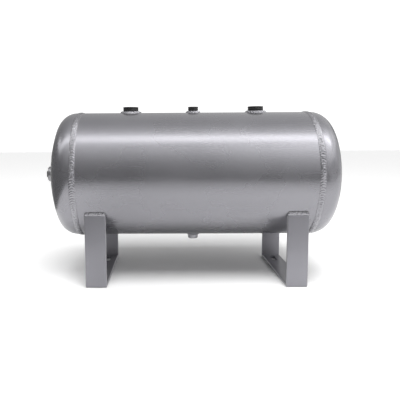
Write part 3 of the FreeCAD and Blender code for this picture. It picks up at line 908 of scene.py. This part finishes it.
# heights and runs are parts of a sphere of radius 1 round the tank
surround = {
    "backdrop": 1.2,
    "ahead": {"low": 0.225, "quarter": 0.47, "half": 1.20, "top": 1.25},
    "heights": {"low": 0.04, "quarter": 0.42, "half": 0.74, "top": 0.95},
    "behind": {"low": 0.58, "high": 0.65, "height": 0.8},
    "turn": (-0.15, 0.25),       # Y over which ahead turns into behind
    "rightGlow": {"starts": 0.10, "full": 0.32, "low": 0.10, "high": 0.93, "heights": (-0.02, 0.80, 0.93)},
    "below": 0.16,
    "underRun": 0.06,
    "leftShare": 0.5,
    "rightShare": 1.35,
    "shareRun": 0.8,
    "diffuseShare": 0.66,        # how much of it lights the matt part of a finish
}


def makeWorld():
    # brightness climbs with height ahead of the tank, most of all to its right, and stays even behind it
    world = bpy.data.worlds.new("studio")
    world.use_nodes = True
    scene.world = world
    tree = world.node_tree
    around = addNode(tree, "ShaderNodeTexCoord").outputs["Generated"]
    x, y, z = addNode(tree, "ShaderNodeSeparateXYZ", {0: around}).outputs
    ahead = surround["ahead"]
    heights = surround["heights"]
    low = remap(tree, z, heights["low"], heights["quarter"], ahead["low"], ahead["quarter"])
    middle = remap(tree, z, heights["quarter"], heights["half"], 0.0, ahead["half"] - ahead["quarter"])
    high = remap(tree, z, heights["half"], heights["top"], 0.0, ahead["top"] - ahead["half"])
    front = math2(tree, "ADD", math2(tree, "ADD", low, middle), high)
    glow = surround["rightGlow"]
    foot, crest, gone = glow["heights"]
    rightward = remap(tree, x, glow["starts"], glow["full"], 0.0, 1.0)
    upward = remap(tree, z, foot, crest, glow["low"], glow["high"])
    upward = math2(tree, "MULTIPLY", upward, remap(tree, z, crest, gone, 1.0, 0.0))
    front = math2(tree, "ADD", front, math2(tree, "MULTIPLY", rightward, upward))
    behind = surround["behind"]
    rear = remap(tree, z, 0.0, behind["height"], behind["low"], behind["high"])
    turn = remap(tree, y, *surround["turn"], 0.0, 1.0)
    away = math2(tree, "MULTIPLY", math2(tree, "SUBTRACT", rear, front), turn)
    level = math2(tree, "ADD", front, away)
    run = surround["shareRun"]
    share = remap(tree, x, -run, run, surround["leftShare"], surround["rightShare"])
    level = math2(tree, "MULTIPLY", level, share)
    under = remap(tree, z, -surround["underRun"], 0.0, 1.0, 0.0)
    fall = math2(tree, "MULTIPLY", math2(tree, "SUBTRACT", surround["below"], level), under)
    level = math2(tree, "ADD", level, fall)
    path = addNode(tree, "ShaderNodeLightPath").outputs
    dim = math2(tree, "MULTIPLY", path["Is Diffuse Ray"], 1 - surround["diffuseShare"])
    level = math2(tree, "MULTIPLY", level, math2(tree, "SUBTRACT", 1.0, dim))
    lift = math2(tree, "SUBTRACT", surround["backdrop"], level)
    lift = math2(tree, "MULTIPLY", lift, path["Is Camera Ray"])
    tree.links.new(math2(tree, "ADD", level, lift), tree.nodes["Background"].inputs["Strength"])
    tree.nodes["Background"].inputs["Color"].default_value = (1, 1, 1, 1)


softboxes = {
    "highlight": {"place": (0.05, -0.62, 1.80), "aim": (0.05, 0.0, 0.25), "size": (4.7, 0.38), "watts": 15.4},
    "key": {"place": (0.08, -0.86, 1.85), "aim": (0.05, 0.0, 0.1), "size": (1.1, 1.0), "watts": 34.0},
}


def makeSoftbox(name, glossy, diffuse):
    # the highlight only shows in the gloss, and the key only lights what is matt
    sizes = softboxes[name]
    data = bpy.data.lights.new(name, "AREA")
    data.shape = "RECTANGLE"
    data.size, data.size_y = sizes["size"]
    data.energy = sizes["watts"]
    softbox = bpy.data.objects.new(name, data)
    softbox.location = sizes["place"]
    aim = Vector(sizes["aim"]) - Vector(sizes["place"])
    softbox.rotation_euler = aim.to_track_quat("-Z", "Y").to_euler()
    softbox.visible_camera = False
    softbox.visible_glossy = glossy
    softbox.visible_diffuse = diffuse
    scene.collection.objects.link(softbox)


panels = {
    "leftPanel": {"from": (-1.20, -0.45), "to": (-1.20, 0.20), "bottom": 0.76, "top": 1.08, "glow": 2.0},
    "leftFlag": {"from": (-0.48, -0.95), "to": (-0.48, 0.50), "bottom": 0.0, "top": 0.30, "glow": 0.20},
    "rightFlag": {"from": (0.75, 0.45), "to": (0.55, 1.3), "bottom": 0.0, "top": 0.50, "glow": 0.08},
    "rightPanel": {"from": (1.25, -0.75), "to": (1.25, 0.40), "bottom": 0.68, "top": 1.15, "glow": 1.7},
    "sidePanel": {"from": (1.05, -1.45), "to": (1.30, -0.45), "bottom": 0.0, "top": 0.66, "glow": 0.65},
}


def makePanel(name):
    # upright panel that only reflections see: dark ones rim the heads, bright ones light their shoulders
    sizes = panels[name]
    (x1, y1), (x2, y2) = sizes["from"], sizes["to"]
    mesh = bpy.data.meshes.new(name)
    mesh.from_pydata([(x1, y1, sizes["bottom"]), (x2, y2, sizes["bottom"]),
                      (x2, y2, sizes["top"]), (x1, y1, sizes["top"])], [], [(0, 1, 2, 3)])
    material, _, shader, _ = newMaterial(name)
    shader.inputs["Base Color"].default_value = colour(0.0)
    shader.inputs["Specular IOR Level"].default_value = 0.0
    shader.inputs["Emission Color"].default_value = (1, 1, 1, 1)
    shader.inputs["Emission Strength"].default_value = sizes["glow"]
    mesh.materials.append(material)
    panel = bpy.data.objects.new(name, mesh)
    scene.collection.objects.link(panel)
    panel.visible_camera = False
    panel.visible_diffuse = False
    panel.visible_shadow = False
    panel.visible_transmission = False


view = {
    "place": (-0.0513, -0.8154, 0.2530),    # m from the tank's middle on the floor
    "pitch": 6.013,                         # degrees down
    "yaw": -0.493,
    "roll": -0.0060,                        # radians
    "sensor": 36.0,
    "lens": 40.27,
    "shift": (0.0973, -0.0458),
}


def makeCamera():
    place = Vector((tankMiddle, 0, 0)) + Vector(view["place"])
    pitch, yaw, roll = math.radians(view["pitch"]), math.radians(view["yaw"]), view["roll"]
    level = Vector((math.sin(yaw), math.cos(yaw), 0))
    forward = level * math.cos(pitch) + Vector((0, 0, -math.sin(pitch)))
    flatRight = Vector((math.cos(yaw), -math.sin(yaw), 0))
    flatUp = level * math.sin(pitch) + Vector((0, 0, math.cos(pitch)))
    right = flatRight * math.cos(roll) + flatUp * math.sin(roll)
    up = flatUp * math.cos(roll) - flatRight * math.sin(roll)
    data = bpy.data.cameras.new("camera")
    data.sensor_width = view["sensor"]
    data.lens = view["lens"]
    data.shift_x, data.shift_y = view["shift"]
    camera = bpy.data.objects.new("camera", data)
    turn = Matrix((right, up, -forward)).transposed().to_4x4()
    camera.matrix_world = Matrix.Translation(place) @ turn
    scene.collection.objects.link(camera)
    scene.camera = camera


makeFloor()
makeWorld()
makeSoftbox("highlight", True, False)
makeSoftbox("key", False, True)
for name in panels:
    makePanel(name)
makeCamera()
scene.view_settings.view_transform = "Standard"
scene.view_settings.look = "None"
print("studio set")
